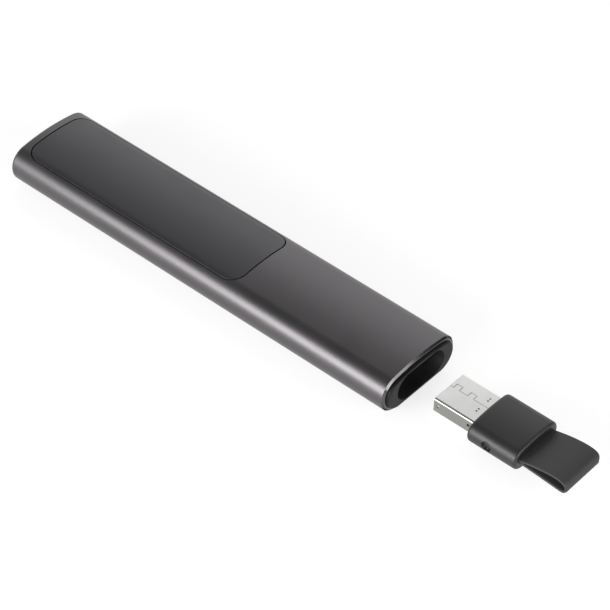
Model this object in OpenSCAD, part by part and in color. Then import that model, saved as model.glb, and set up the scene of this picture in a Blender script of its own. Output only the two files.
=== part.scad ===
// Wireless presentation clicker: a flat aluminium handset with three buttons on its front face,
// a long plastic cover on its back face, and a USB receiver with a pull strap that docks in its end.
// X runs along the handset, from the head (-X) to the open end (+X). The front face lies on Z = 0.

/* [Handset] */
// Overall length of the handset, with its end cap
body_l = 131.3; // [126:0.1:145]
// Width of the handset
body_w = 28.1; // [27.6:0.1:31]
// Thickness of the handset at the middle of its width
body_t = 12.1; // [11.9:0.1:13]
// Radius of the crown across the back face
back_crown_r = 60; // [52:1:90]
// Wall of the aluminium shell
shell_wall = 1.1; // [0.9:0.05:1.2]
// Wall at the closed head end
head_wall = 1.6; // [1.2:0.1:2.4]
// Bevel round the closed head end
head_bevel = 0.8; // [0.4:0.05:1]
// Bright chamfer round the open end
rim_chamfer = 0.45; // [0.2:0.05:0.6]

/* [Back cover] */
// Length of the plastic cover
cover_l = 75.5; // [73.5:0.1:79.5]
// Strip of shell between the cover and each long edge
cover_side = 2.95; // [2.55:0.05:3.25]
// Thickness of the plastic cover
cover_t = 1.2; // [1:0.05:1.3]
// Strip of shell between the cover and the head end
cover_margin = 3; // [2.7:0.1:4]
// Plan radius of the cover's corners
cover_corner_r = 4.2; // [3:0.1:6]
// Gap between the cover and its window
seam_gap = 0.15; // [0.1:0.01:0.25]

/* [Buttons] */
// Distance from the head end to the pointer button's centre
pointer_from_head = 19.2; // [18.6:0.1:20]
// Distance from the head end to the next button's centre
next_from_head = 36.2; // [35.6:0.1:37]
// Distance from the head end to the back button's centre
back_from_head = 51.2; // [50.6:0.1:54]
// Length of the pointer button along the handset
pointer_l = 12.5; // [10:0.1:13]
// Strip of front face beside the pointer and back buttons
button_margin = 6.85; // [6.65:0.05:8]
// Strip of front face beside the round next button
next_margin = 6.45; // [6.3:0.05:7.5]
// Length of the back button along the handset
back_l = 8; // [6:0.1:9]
// Depth of each button's top below the front face
button_recess = 0.15; // [0.05:0.05:0.3]
// Gap round each button
button_gap = 0.2; // [0.12:0.02:0.3]
// Travel of each button
button_travel = 0.35; // [0.2:0.05:0.4]
// Distance from the head end to the status light's centre
light_from_head = 7.2; // [6.6:0.1:8.4]

/* [Electronics] */
// Thickness of the circuit boards
pcb_t = 0.8; // [0.6:0.05:1]
// Room between each edge of the main board and the shell, for the chassis
board_margin = 3.55; // [3.4:0.05:4]
// Height of each tactile switch's housing
switch_h = 1.1; // [0.9:0.05:1.15]
// Size of each tactile switch's housing
switch_w = 3.6; // [3:0.1:5]
// Length of the battery
battery_l = 30; // [24:0.5:32]
// Width of the battery
battery_w = 15; // [12:0.5:16]
// Thickness of the battery
battery_t = 3.2; // [2.8:0.1:4]
// Outer width of the charging port's shell
port_w = 8.94; // [8.9:0.01:9]
// Outer height of the charging port's shell
port_h = 3.2; // [3.1:0.02:3.3]
// Length of the charging port
port_l = 7.3; // [6.5:0.1:9]

/* [Receiver bay] */
// Room between the bay and each long edge of the handset
bay_margin = 5.05; // [4.75:0.05:5.15]
// Height of the bay
bay_t = 7.9; // [7.6:0.05:8]
// Length of the end cap inside the shell
cap_depth = 5.25; // [4.6:0.05:6]
// How far the end cap stands out of the shell
cap_proud = 0.8; // [0.5:0.05:1]
// Gap between the end cap and the shell
cap_gap = 0.15; // [0.1:0.01:0.2]
// How deep the docked receiver sits below the end cap's face
dock_recess = 0.3; // [0.1:0.1:1]

/* [Receiver] */
// Free gap between the handset and the plug's tip when the receiver is pulled out
pulled_gap = 8.8; // [2:0.1:40]
// Width of the USB plug
plug_w = 12; // [11.9:0.05:12.1]
// Height of the USB plug
plug_h = 4.5; // [4.4:0.05:4.6]
// Length of plug that shows
plug_l = 12.2; // [11.7:0.1:13]
// Thickness of the plug's sheet steel
sheet_t = 0.3; // [0.25:0.01:0.35]
// Gap between the rubber collar and each side of the bay when docked
collar_gap = 0.35; // [0.25:0.05:0.5]
// Height of the rubber collar
collar_t = 7; // [6.7:0.05:7.2]
// Length of the rubber collar
collar_l = 15; // [14:0.1:17]
// Distance from the collar's front to its two detent dimples
dimple_from_front = 6.1; // [5:0.1:8]
// Diameter of a detent dimple
dimple_d = 2.7; // [2.4:0.1:3]
// Length of pull strap outside the collar
strap_l = 14.2; // [10:0.1:20]
// Strip of collar beside each edge of the pull strap
strap_margin = 1.65; // [1.55:0.05:3.65]
// Thickness of one layer of the strap
strap_t = 0.75; // [0.5:0.05:0.9]

/* [Hidden] */
$fn = 72;

graphite = [0.33, 0.32, 0.33];
near_black = [0.13, 0.13, 0.135];
dark_grey = [0.22, 0.22, 0.225];
steel = [0.78, 0.78, 0.76];
board_green = [0.05, 0.2, 0.14];
gold = [0.85, 0.65, 0.3];

slack = 0.05;      // running gap between pieces that nearly touch
fit_gap = 0.1;     // gap round a piece that slots into another
screw_gap = 0.02;  // radial gap round a screw's thread
over = 1;          // how far a cutter runs past what it cuts

x_head = -body_l / 2;
x_face = body_l / 2;
x_rim = x_face - cap_proud;
z_mid = body_t / 2;
cavity_w = body_w - 2 * shell_wall;
cavity_t = body_t - 2 * shell_wall;

// The round sides above the middle plane, which run into the crown of the back
crown_z = body_t - back_crown_r;
crown_overlap = 0.015; // how far the sides stand out of the crown before they are trimmed to it
side_r = (back_crown_r * body_t - pow(body_w / 2, 2) - pow(z_mid, 2)) / (2 * back_crown_r - body_w)
    + crown_overlap;
side_y = body_w / 2 - side_r;
join_angle = atan2(side_y, z_mid - crown_z);

cover_x0 = x_head + cover_margin;
cover_x1 = cover_x0 + cover_l;
cover_half = body_w / 2 - cover_side;
hook_l = 3;            // hooks that hold the cover under the shell's wall
hook_gap = 0.2;
rib_t = 0.9;
lip_t = 0.6;
lip_out = 0.4;

// Buttons, and the switches above them
button_w = body_w - 2 * button_margin;
next_d = body_w - 2 * next_margin;
pointer_x = x_head + pointer_from_head;
next_x = x_head + next_from_head;
back_x = x_head + back_from_head;
corner_r = 4;          // plan radius of the oblong buttons, limited by their own length
dish_depth = 0.5;
flange_out = 0.6;
flange_t = 0.6;
stem_r = 1.6;
stem_l = 0.35;
plunger_d = 1.7;
plunger_out = 0.45;
plunger_in = 0.5;
z_flange0 = shell_wall + slack;
z_flange1 = z_flange0 + flange_t;
z_plunger0 = z_flange1 + stem_l;
z_switch0 = z_plunger0 + plunger_out;

// Heights of the main board, the charging port and the battery shelf
z_board0 = z_switch0 + switch_h;
z_board1 = z_board0 + pcb_t;
z_port = z_board1 + port_h / 2;
parts_room = 1.35;
shelf_t = 0.5;
z_shelf0 = z_board1 + parts_room;
z_shelf1 = z_shelf0 + shelf_t;
z_battery1 = z_shelf1 + battery_t;

// Bay, dock and end cap
bay_w = body_w - 2 * bay_margin;
tip_clear = 0.6;
bay_depth = dock_recess + collar_l + plug_l + tip_clear;
x_bay0 = x_face - bay_depth;
x_cap0 = x_rim - cap_depth;
cap_w = cavity_w - 2 * cap_gap;
cap_edge = 0.55;
mouth_chamfer = 0.3;
dock_wall = (cavity_t - bay_t) / 2 - fit_gap;
dock_end_t = 1.2;
x_dock0 = x_bay0 - dock_end_t;
detent_x = x_face - dock_recess - collar_l + dimple_from_front;
detent_in = 0.25;      // how far a detent bump stands into the bay
spring_t = 0.15;
spring_h = 3;
spring_y = bay_w / 2 + dock_wall + fit_gap;
bump_r = spring_y + spring_t / 2 - (bay_w / 2 - detent_in);
clamp_l = 2;
clamp_wall = 0.5;
spring_l = 7.6;
spring_x1 = detent_x + 0.85;
lug_l = 1.9;
lug_wall = 0.5;
x_lug0 = x_cap0 - lug_l;
snap_l = 2;
snap_h = 2.4;
snap_out = 0.4;
snap_x = x_rim - 2.9;

// Small screws: shank radius, head radius and head height
screw_r = 0.7;
head_r = 1.1;
head_h = 0.6;
// Screws between the dock and the end cap, which fit the room beside the bay
side_room = cavity_w / 2 - bay_w / 2 - dock_wall;
cap_screw_y = cavity_w / 2 - side_room * 0.55;
cap_head_r = side_room * 0.34;
cap_screw_r = side_room * 0.22;
cap_screw_l = 5;
cap_lug_half = cap_screw_r + fit_gap + lug_wall * side_room / 3;

// Main board and chassis
pcb_half_w = cavity_w / 2 - board_margin;
rail_gap = 0.35;
rail_t = 1.45;
rail_y0 = pcb_half_w + rail_gap;
rail_y1 = rail_y0 + rail_t;
rail_drop = 0.25;
rail_rise = 1.55;
rail_z0 = z_board0 - rail_drop;
rail_z1 = z_mid + rail_rise;
rail_head_gap = 2.2;
rail_x0 = x_head + head_wall + rail_head_gap;
rail_x1 = x_dock0 - fit_gap;
ledge_in = 1.15;
ledge_t = 0.85;
beam_l = 1.5;
beam_t = 1.2;
pad_l = 5.4;
pad_in = 0.95;
pads_y = rail_y0 + rail_t / 2 - 0.4;
tab_t = 1;
dock_screw_in = 2.4;
boss_r = 1.8;
tip_room = 0.6;        // free hole beyond each screw's tip
fix_y = pcb_half_w - boss_r - 0.5;

// Along the board: antenna, head fixing, motor, radio, battery, its connector and the tail fixing
part_gap = 0.6;
antenna_l = 1.8;
antenna_w = 6.4;
antenna_h = 1.1;
antenna_in = 0.4;
head_clear = 0.25;
fix_head_x = rail_x0 + beam_l + head_clear + head_r;
motor_r = 4;
motor_h = 2.7;
motor_edge = 0.3;
motor_gap = 3.2;
motor_x = fix_head_x + boss_r + motor_gap + motor_r;
shield_l = 13;
shield_w = 12;
shield_h = 1.3;
shield_t = 0.2;
shield_gap = 2.25;
shield_x = motor_x + motor_r + shield_gap + shield_l / 2;
processor_w = 6;
processor_h = 0.85;
processor_back = 1.5;
processor_x = shield_x - processor_back;
crystal_l = 2;
crystal_w = 1.6;
crystal_h = 0.6;
crystal_ahead = 3.4;
crystal_x = shield_x + crystal_ahead;
stop_t = 0.6;
stop_h = 1;
battery_gap = 3.75;
battery_x0 = shield_x + shield_l / 2 + battery_gap;
battery_x1 = battery_x0 + battery_l;
battery_corner = 1.2;
pad_inset_l = 3;
pad_inset_w = 1.5;
sensor_w = 3;
sensor_h = 0.9;
sensor_in = 5.5;
sensor_x = battery_x0 + sensor_in;
capacitor_l = 1;
capacitor_w = 0.5;
capacitor_pitch = 3;
capacitor_y = 4;
charger_w = 3;
charger_h = 0.75;
charger_in = 4;
charger_x = battery_x1 - charger_in;
inductor_w = 4;
inductor_h = 1.2;
power_y = 4;
connector_l = 3.2;
connector_w = 3.6;
connector_h = 1.3;
plug_x = battery_x1 + stop_t + 1 + connector_l / 2;
plug_y = 3.2;
lead_r = 0.35;
lead_pitch = 1.5;
lead_z = z_shelf1 + 2;
fix_tail_x = plug_x + connector_l / 2 + part_gap + boss_r;

// Charging port
port_wall = 0.3;
port_back = 0.4;
tongue_w = 6.7;
tongue_t = 0.7;
tongue_short = 0.7;

// Status light
lens_r = 0.8;
lens_x = x_head + light_from_head;
lens_flange = 0.6;
led_h = 0.7;
led_w = 1.6;

// Receiver, pulled out along X from the bay
x_tip = x_face + pulled_gap;
x_collar0 = x_tip + plug_l;
x_collar1 = x_collar0 + collar_l;
collar_w = bay_w - 2 * collar_gap;
strap_w = collar_w - 2 * strap_margin;
plug_in = 3;           // plug shell inside the collar
x_inside0 = x_collar0 + plug_in;
plug_corner = 0.5;
seam_y = 0.3;
seam_w = 0.1;
key_h = 1.5;           // height of each interlocking key of the plug's folded seam
fold_seam = [[-0.5, 0], [1.1, 0], [1.1, key_h], [2.9, key_h], [2.9, 0],
    [5.5, 0], [5.5, key_h], [7.3, key_h], [7.3, 0], [plug_l + 1, 0]];
stake_hole_r = 0.27;
stake_hole_y = [-2.3, -1.4, 2.3, 3.2];
stake_hole_back = 1.9;
notch_in = 1.4;
notch_l = 0.8;
notch_h = 0.8;
latch_in = 5.2;
latch_y = 3;
latch_w = 2.2;
usb_tongue_t = 1.9;
z_usb_tongue = z_mid + plug_h / 2 - sheet_t - slack - usb_tongue_t;
usb_contact_y = [-3.5, -1, 1, 3.5];
usb_tongue_in = 0.5;
contact_in = 1.6;
contact_l = 7.8;
contact_w = 1;
contact_t = 0.12;
chip_in = 1;
chip_w = 4;
chip_t = 0.8;
collar_edge = 0.5;
collar_back = 2.3;     // collar wall behind the inner board
pocket_h = 2.9;
dimple_depth = 0.7;
slot_h = 1.8;
anchor_t = 1.2;
anchor_bead_r = 1.15;
root_r = 0.62;         // half thickness of the strap where its two layers meet
strap_end_r = 1.9;
strap_rise = 0.5;      // how far the loop's end lies above the plug's centre plane
loop_start = [2.2, 0.08];
loop_start_r = 0.12;

// ---------- shapes that repeat ----------

function arc(c, r, a0, a1, n) =
    r > 0 ? [for (i = [0:n]) c + r * [cos(a0 + (a1 - a0) * i / n), sin(a0 + (a1 - a0) * i / n)]] : [c];

// Outline round two circles, from the small one at a to the large one at b
function teardrop(a, ra, b, rb, n) =
    let (d = norm(b - a),
         turn = atan2(b[1] - a[1], b[0] - a[0]),
         lean = acos((ra - rb) / d))
    concat(arc(b, rb, turn - lean, turn + lean, n), arc(a, ra, turn + lean, turn + 360 - lean, n));

// Half profile of a round bar of length l and radius r with end chamfers c0 and c1
function bar_profile(l, r, c0, c1) =
    concat([[0, 0]],
        c0 > 0 ? [[r - c0, 0], [r, c0]] : [[r, 0]],
        c1 > 0 ? [[r, l - c1], [r - c1, l]] : [[r, l]],
        [[0, l]]);

// Bar along X with flat faces and half-round sides, centred on the handset's middle plane
module stadium_bar(x0, x1, w, t, c0 = 0, c1 = 0) {
    profile = bar_profile(x1 - x0, t / 2, c0, c1);
    translate([x0, 0, z_mid]) {
        for (side = [-1, 1])
            translate([0, side * (w - t) / 2, 0])
                rotate([0, 90, 0]) rotate_extrude() polygon(profile);
        for (side = [0, 1])
            mirror([0, 0, side])
                rotate([90, 0, 0]) linear_extrude(w - t, center = true)
                    polygon([for (p = profile) [p[1], p[0]]]);
    }
}

// Round bar along X with end chamfers, whose axis is at y and z
module round_bar(x0, x1, y, z, r, c0, c1, sides) {
    translate([x0, y, z]) rotate([0, 90, 0])
        rotate_extrude($fn = sides) polygon(bar_profile(x1 - x0, r, c0, c1));
}

// Half width of the crown on the handset's section, drawn in by inset
function join_y(inset) = (back_crown_r - inset) * sin(join_angle);

// Height of the handset's back at y, or of the surface that lies inset below it
function back_z(y, inset) = abs(y) < join_y(inset)
    ? crown_z + sqrt(pow(back_crown_r - inset, 2) - y * y)
    : z_mid + sqrt(pow(side_r - inset, 2) - pow(abs(y) - side_y, 2));

// Bar along X with the handset's section drawn in by inset: flat in front and crowned at the back
module handset_bar(x0, x1, inset, c0 = 0, c1 = 0) {
    intersection() {
        stadium_bar(x0, x1, body_w - 2 * inset, body_t - 2 * inset, c0, c1);
        block([x0 - over, x1 + over], [-body_w, body_w], [-over, z_mid]);
    }
    intersection() {
        union() {
            for (side = [-1, 1])
                round_bar(x0, x1, side * side_y, z_mid, side_r - inset, c0, c1, $fn);
            block([x0, x1], [-join_y(inset), join_y(inset)], [z_mid - over, body_t + over]);
        }
        round_bar(x0, x1, 0, crown_z, back_crown_r - inset, c0, c1, 360);
        block([x0 - over, x1 + over], [-body_w, body_w], [z_mid, body_t + over]);
    }
}

// Box from its two X ends, its Y span and its Z span
module block(x, y, z) {
    translate([x[0], y[0], z[0]]) cube([x[1] - x[0], y[1] - y[0], z[1] - z[0]]);
}

module rounded_rect(w, h, r) {
    square([w - 2 * r, h], center = true);
    square([w, h - 2 * r], center = true);
    for (sx = [-1, 1], sy = [-1, 1])
        translate([sx * (w / 2 - r), sy * (h / 2 - r)]) circle(r);
}

// Extrudes a YZ outline along X, centred on the handset's middle plane
module along_x(x0, x1) {
    translate([x0, 0, z_mid]) rotate([90, 0, 90]) linear_extrude(x1 - x0) children();
}

// Cross-headed screw that points along -Z, with its head's seat at z = 0
module screw(l, shank = screw_r, head = head_r) {
    slot_l = head * 1.2;
    slot_w = head * 0.28;
    translate([0, 0, -l]) cylinder(r = shank, h = l);
    difference() {
        cylinder(r = head, h = head_h);
        for (a = [0, 90])
            rotate([0, 0, a])
                translate([-slot_l / 2, -slot_w / 2, head_h / 2]) cube([slot_l, slot_w, over]);
    }
}

module at_fixings() {
    for (x = [fix_head_x, fix_tail_x], side = [-1, 1])
        translate([x, side * fix_y, 0]) children();
}

// ---------- handset casing ----------

module cover_window(gap) {
    translate([(cover_x0 + cover_x1) / 2, 0])
        rounded_rect(cover_l - 2 * gap, 2 * (cover_half - gap), cover_corner_r - gap);
}

module oblong(l, w, grow) {
    rounded_rect(l + 2 * grow, w + 2 * grow, min(corner_r, l / 2 - slack) + grow);
}

module button_holes() {
    translate([pointer_x, 0]) oblong(pointer_l, button_w, button_gap);
    translate([next_x, 0]) circle(next_d / 2 + button_gap);
    translate([back_x, 0]) oblong(back_l, button_w, button_gap);
    translate([lens_x, 0]) circle(lens_r + slack);
}

module shell() {
    color(graphite) difference() {
        union() {
            difference() {
                handset_bar(x_head, x_rim, 0, head_bevel, rim_chamfer);
                handset_bar(x_head + head_wall, x_rim + over, shell_wall);
            }
            at_fixings() translate([0, 0, shell_wall / 2])
                cylinder(r = boss_r, h = z_board0 - shell_wall / 2);
        }
        translate([0, 0, z_mid]) linear_extrude(body_t) cover_window(0);
        translate([0, 0, -over]) linear_extrude(over + shell_wall + slack / 2) button_holes();
        at_fixings() translate([0, 0, shell_wall]) cylinder(r = screw_r + screw_gap, h = body_t);
        for (side = [-1, 1])
            translate([snap_x, side * cavity_w / 2, z_mid])
                cube([snap_l, 2 * snap_out, snap_h] + 2 * fit_gap * [1, 1, 1], center = true);
    }
}

// Hook under the shell's wall, at the long edges of the cover
module cover_hook() {
    rib_y1 = cover_half - seam_gap - hook_gap;
    rib_y0 = rib_y1 - rib_t;
    lip_y1 = cover_half + lip_out;
    lip_z1 = back_z(lip_y1, shell_wall) - hook_gap;
    under = back_z(rib_y0, cover_t);
    block([-hook_l / 2, hook_l / 2], [rib_y0, rib_y1], [lip_z1 - lip_t, under + slack]);
    block([-hook_l / 2, hook_l / 2], [rib_y1 - fit_gap, lip_y1], [lip_z1 - lip_t, lip_z1]);
}

module back_cover() {
    color(near_black) {
        intersection() {
            difference() {
                handset_bar(x_head, x_rim, 0);
                handset_bar(x_head - over, x_rim + over, cover_t);
            }
            translate([0, 0, z_mid]) linear_extrude(body_t) cover_window(seam_gap);
        }
        for (share = [0.16, 0.5, 0.84], side = [0, 1])
            translate([cover_x0 + share * cover_l, 0, 0]) mirror([0, side, 0]) cover_hook();
    }
}

module end_cap() {
    color(dark_grey) difference() {
        union() {
            handset_bar(x_cap0, x_face, shell_wall + cap_gap, 0, cap_edge);
            for (side = [-1, 1])
                translate([snap_x, side * cap_w / 2, z_mid])
                    cube([snap_l, 2 * snap_out, snap_h], center = true);
        }
        stadium_bar(x_cap0 - over, x_face + over, bay_w, bay_t);
        stadium_bar(x_face - mouth_chamfer, x_face + 2 * over, bay_w + 2 * (mouth_chamfer + over),
            bay_t + 2 * (mouth_chamfer + over), mouth_chamfer + over, 0);
        for (side = [-1, 1])
            translate([x_cap0 - over, side * cap_screw_y, z_mid]) rotate([0, 90, 0])
                cylinder(r = cap_screw_r + screw_gap, h = cap_screw_l - lug_l + over + 0.3);
    }
}

// ---------- receiver dock ----------

module dock_tab() {
    difference() {
        block([x_dock0 - pad_l, x_dock0 + over / 2], [rail_y0 - pad_in, rail_y1],
            [rail_z1, rail_z1 + tab_t]);
        translate([x_dock0 - pad_l / 2, pads_y, rail_z1 - over])
            cylinder(r = screw_r + fit_gap, h = tab_t + 2 * over);
    }
}

module dock_lug() {
    difference() {
        block([x_lug0, x_cap0], [bay_w / 2 + dock_wall / 2, cap_screw_y + cap_lug_half],
            [z_mid - cap_lug_half, z_mid + cap_lug_half]);
        translate([x_lug0 - over, cap_screw_y, z_mid]) rotate([0, 90, 0])
            cylinder(r = cap_screw_r + fit_gap, h = lug_l + 2 * over);
    }
}

// Block that holds the fixed end of a detent spring
module spring_clamp() {
    x1 = spring_x1 - spring_l + clamp_l;
    difference() {
        block([x1 - clamp_l - clamp_wall, x1],
            [bay_w / 2 + dock_wall / 2, spring_y + spring_t + clamp_wall],
            [z_mid - spring_h / 2 - clamp_wall, z_mid + spring_h / 2 + clamp_wall]);
        block([x1 - clamp_l - slack, x1 + over], [spring_y - slack, spring_y + spring_t + slack],
            [z_mid - spring_h / 2 - slack, z_mid + spring_h / 2 + slack]);
    }
}

module receiver_dock() {
    color(near_black) difference() {
        union() {
            intersection() {
                stadium_bar(x_dock0, x_cap0, bay_w + 2 * dock_wall, cavity_t);
                handset_bar(x_dock0 - over, x_cap0 + over, shell_wall + fit_gap);
            }
            for (side = [0, 1]) mirror([0, side, 0]) {
                dock_tab();
                dock_lug();
                spring_clamp();
            }
        }
        stadium_bar(x_bay0, x_cap0 + over, bay_w, bay_t);
        translate([0, 0, z_port - z_mid])
            stadium_bar(x_dock0 - over, x_bay0 + over, port_w + 2 * fit_gap, port_h + 2 * fit_gap);
        translate([detent_x, 0, z_mid]) rotate([90, 0, 0])
            cylinder(r = bump_r + fit_gap, h = bay_w + 4 * dock_wall, center = true);
    }
}

module detent_springs() {
    color(steel) for (side = [0, 1]) mirror([0, side, 0]) {
        block([spring_x1 - spring_l, spring_x1], [spring_y, spring_y + spring_t],
            [z_mid - spring_h / 2, z_mid + spring_h / 2]);
        intersection() {
            translate([detent_x, spring_y + spring_t / 2, z_mid]) sphere(bump_r);
            block([detent_x - 2 * bump_r, detent_x + 2 * bump_r], [0, spring_y + spring_t / 2],
                [z_mid - 2 * bump_r, z_mid + 2 * bump_r]);
        }
    }
}

module cap_screws() {
    color(steel) for (side = [-1, 1])
        translate([x_lug0, side * cap_screw_y, z_mid]) rotate([0, -90, 0])
            screw(cap_screw_l, cap_screw_r, cap_head_r);
}

module dock_screws() {
    color(steel) for (side = [-1, 1])
        translate([x_dock0 - pad_l / 2, side * pads_y, rail_z1 + tab_t]) screw(tab_t + dock_screw_in);
}

// ---------- chassis and electronics ----------

module chassis() {
    y_mid = rail_y0 + slack;     // crossing pieces run this far into each rail
    color(near_black) difference() {
        union() {
            for (side = [0, 1]) mirror([0, side, 0]) {
                block([rail_x0, rail_x1], [rail_y0, rail_y1], [rail_z0, rail_z1]);
                block([rail_x0, rail_x1], [rail_y0 - ledge_in, y_mid], [z_board1, z_board1 + ledge_t]);
                block([x_dock0 - pad_l, rail_x1], [rail_y0 - pad_in, rail_y1], [z_board1, rail_z1]);
            }
            block([battery_x0 - stop_t, battery_x1 + stop_t], [-y_mid, y_mid], [z_shelf0, z_shelf1]);
            for (x = [battery_x0 - stop_t, battery_x1])
                block([x, x + stop_t], [-battery_w / 3, battery_w / 3], [z_shelf0, z_shelf1 + stop_h]);
            for (x = [rail_x0, fix_tail_x + boss_r + part_gap, x_bay0 - port_l - beam_l - part_gap])
                block([x, x + beam_l], [-y_mid, y_mid], [z_shelf0, z_shelf0 + beam_t]);
            at_fixings() translate([0, 0, z_board1]) cylinder(r = boss_r, h = parts_room);
        }
        at_fixings() translate([0, 0, z_board1 - over])
            cylinder(r = screw_r + fit_gap, h = parts_room + 2 * over);
        for (side = [-1, 1])
            translate([x_dock0 - pad_l / 2, side * pads_y, rail_z1 - dock_screw_in - 2 * fit_gap])
                cylinder(r = screw_r + screw_gap, h = dock_screw_in + over);
    }
}

module chassis_screws() {
    color(steel) at_fixings() translate([0, 0, z_shelf0]) screw(z_shelf0 - shell_wall - tip_room);
}

module main_board() {
    color(board_green) difference() {
        translate([(rail_x0 + rail_x1) / 2, 0, z_board0]) linear_extrude(pcb_t)
            rounded_rect(rail_x1 - rail_x0, 2 * pcb_half_w, 1);
        at_fixings() translate([0, 0, z_board0 - over])
            cylinder(r = screw_r + fit_gap, h = pcb_t + 2 * over);
    }
}

module battery() {
    color("silver") translate([(battery_x0 + battery_x1) / 2, 0, z_shelf1])
        linear_extrude(battery_t) rounded_rect(battery_l, battery_w, battery_corner);
}

module battery_pad() {
    color("dimgray") intersection() {
        translate([(battery_x0 + battery_x1) / 2, 0, z_battery1]) linear_extrude(body_t)
            rounded_rect(battery_l - 2 * pad_inset_l, battery_w - 2 * pad_inset_w, battery_corner);
        handset_bar(battery_x0, battery_x1, cover_t + slack);
    }
}

// Component of plan size l by w, standing h high on the main board
module on_board(x, y, l, w, h) {
    block([x - l / 2, x + l / 2], [y - w / 2, y + w / 2], [z_board1, z_board1 + h]);
}

module battery_connector() {
    color("ivory") on_board(plug_x, plug_y, connector_l, connector_w, connector_h);
}

// Tube of radius r along points, with a square-cut end at each
module tube(points, r, sides = 8) {
    last = len(points) - 1;
    function way(i) = let (d = points[min(i + 1, last)] - points[max(i - 1, 0)]) d / norm(d);
    function ring(i) =
        let (t = way(i), u = cross(t, [0, 1, 0]) / norm(cross(t, [0, 1, 0])), v = cross(t, u))
        [for (k = [0:sides - 1]) points[i] + r * (cos(360 * k / sides) * u + sin(360 * k / sides) * v)];
    polyhedron(
        points = [for (i = [0:last]) each ring(i)],
        faces = concat(
            [[for (k = [0:sides - 1]) k]],
            [for (i = [0:last - 1], k = [0:sides - 1])
                let (a = i * sides + k, b = i * sides + (k + 1) % sides) [b, a, a + sides, b + sides]],
            [[for (k = [sides - 1:-1:0]) last * sides + k]]));
}

module battery_leads() {
    x0 = battery_x1 + slack;
    z_end = z_board1 + connector_h + slack;
    z1 = z_end + 2 * lead_r;
    for (side = [-1, 1]) {
        y = plug_y + side * lead_pitch / 2;
        color(side > 0 ? "red" : "black") tube(concat(
            [for (t = [0:0.1:1]) [x0 + (plug_x - x0) * sin(90 * t), y, z1 + (lead_z - z1) * cos(90 * t)]],
            [[plug_x, y, z_end]]), lead_r);
    }
}

module charging_port() {
    color(steel) translate([0, 0, z_port - z_mid]) difference() {
        stadium_bar(x_bay0 - port_l, x_bay0, port_w, port_h);
        stadium_bar(x_bay0 - port_l + port_back, x_bay0 + over,
            port_w - 2 * port_wall, port_h - 2 * port_wall);
    }
}

module charging_port_tongue() {
    color(near_black) block([x_bay0 - port_l + port_back, x_bay0 - tongue_short],
        [-tongue_w / 2, tongue_w / 2], [z_port - tongue_t / 2, z_port + tongue_t / 2]);
}

module radio_processor() {
    color(near_black) on_board(processor_x, 0, processor_w, processor_w, processor_h);
}

module crystal() {
    color("silver") on_board(crystal_x, 0, crystal_l, crystal_w, crystal_h);
}

module radio_shield() {
    color("silver") difference() {
        on_board(shield_x, 0, shield_l, shield_w, shield_h);
        translate([0, 0, -shield_t])
            on_board(shield_x, 0, shield_l - 2 * shield_t, shield_w - 2 * shield_t, shield_h);
    }
}

module chip_antenna() {
    color("white") on_board(rail_x0 + antenna_in + antenna_l / 2, 0, antenna_l, antenna_w, antenna_h);
}

module motion_sensor() {
    color(near_black) on_board(sensor_x, 0, sensor_w, sensor_w, sensor_h);
}

module power_chips() {
    color(near_black) {
        on_board(charger_x, power_y, charger_w, charger_w, charger_h);
        on_board(charger_x, -power_y, inductor_w, inductor_w, inductor_h);
    }
}

module capacitors() {
    color("tan") for (i = [0:4], side = [-1, 1])
        on_board(sensor_x + (i + 1.5) * capacitor_pitch, side * capacitor_y,
            capacitor_l, capacitor_w, capacitor_w);
}

module vibration_motor() {
    color("silver") translate([motor_x, 0, z_board1]) {
        cylinder(r = motor_r, h = motor_h - motor_edge);
        translate([0, 0, motor_h - motor_edge])
            cylinder(r1 = motor_r, r2 = motor_r - motor_edge, h = motor_edge);
    }
}

module tactile_switches() {
    color(dark_grey) for (x = [pointer_x, next_x, back_x])
        difference() {
            block([x - switch_w / 2, x + switch_w / 2], [-switch_w / 2, switch_w / 2],
                [z_switch0, z_board0]);
            translate([x, 0, z_switch0 - over])
                cylinder(d = plunger_d + 2 * slack, h = over + plunger_in + button_travel + slack);
        }
}

module status_led() {
    color("ivory") block([lens_x - led_w / 2, lens_x + led_w / 2], [-led_w / 4, led_w / 4],
        [z_board0 - led_h, z_board0]);
}

module light_pipe() {
    color("white") translate([lens_x, 0, 0]) {
        translate([0, 0, slack]) cylinder(r = lens_r, h = z_board0 - led_h - 2 * slack);
        translate([0, 0, z_flange0]) cylinder(r = lens_r + lens_flange, h = flange_t);
    }
}

// ---------- buttons ----------

// Stem behind a button's cap, which pushes its switch's plunger
module button_stem() {
    translate([0, 0, z_flange1 - slack]) cylinder(r = stem_r, h = stem_l + slack);
}

// Radius of a dish that is l across at its rim
function dish_r(l) = (pow(l / 2, 2) + pow(dish_depth, 2)) / (2 * dish_depth);

module oblong_button(l) {
    difference() {
        translate([0, 0, button_recess]) linear_extrude(z_flange1 - button_recess) oblong(l, button_w, 0);
        translate([0, 0, button_recess + dish_depth - dish_r(l)]) rotate([90, 0, 0])
            cylinder(r = dish_r(l), h = button_w + 2 * over, center = true, $fn = 240);
    }
    translate([0, 0, z_flange0]) linear_extrude(flange_t) oblong(l, button_w, flange_out);
    button_stem();
}

module plunger(x) {
    color("ivory") translate([x, 0, z_plunger0]) cylinder(d = plunger_d, h = plunger_out + plunger_in);
}

module pointer_button() {
    color(near_black) translate([pointer_x, 0, 0]) oblong_button(pointer_l);
}

module next_button() {
    color(near_black) translate([next_x, 0, 0]) {
        translate([0, 0, button_recess]) rotate_extrude() difference() {
            square([next_d / 2, z_flange1 - button_recess]);
            translate([0, dish_depth - dish_r(next_d)]) circle(dish_r(next_d), $fn = 360);
        }
        translate([0, 0, z_flange0]) cylinder(d = next_d + 2 * flange_out, h = flange_t);
        button_stem();
    }
}

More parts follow.
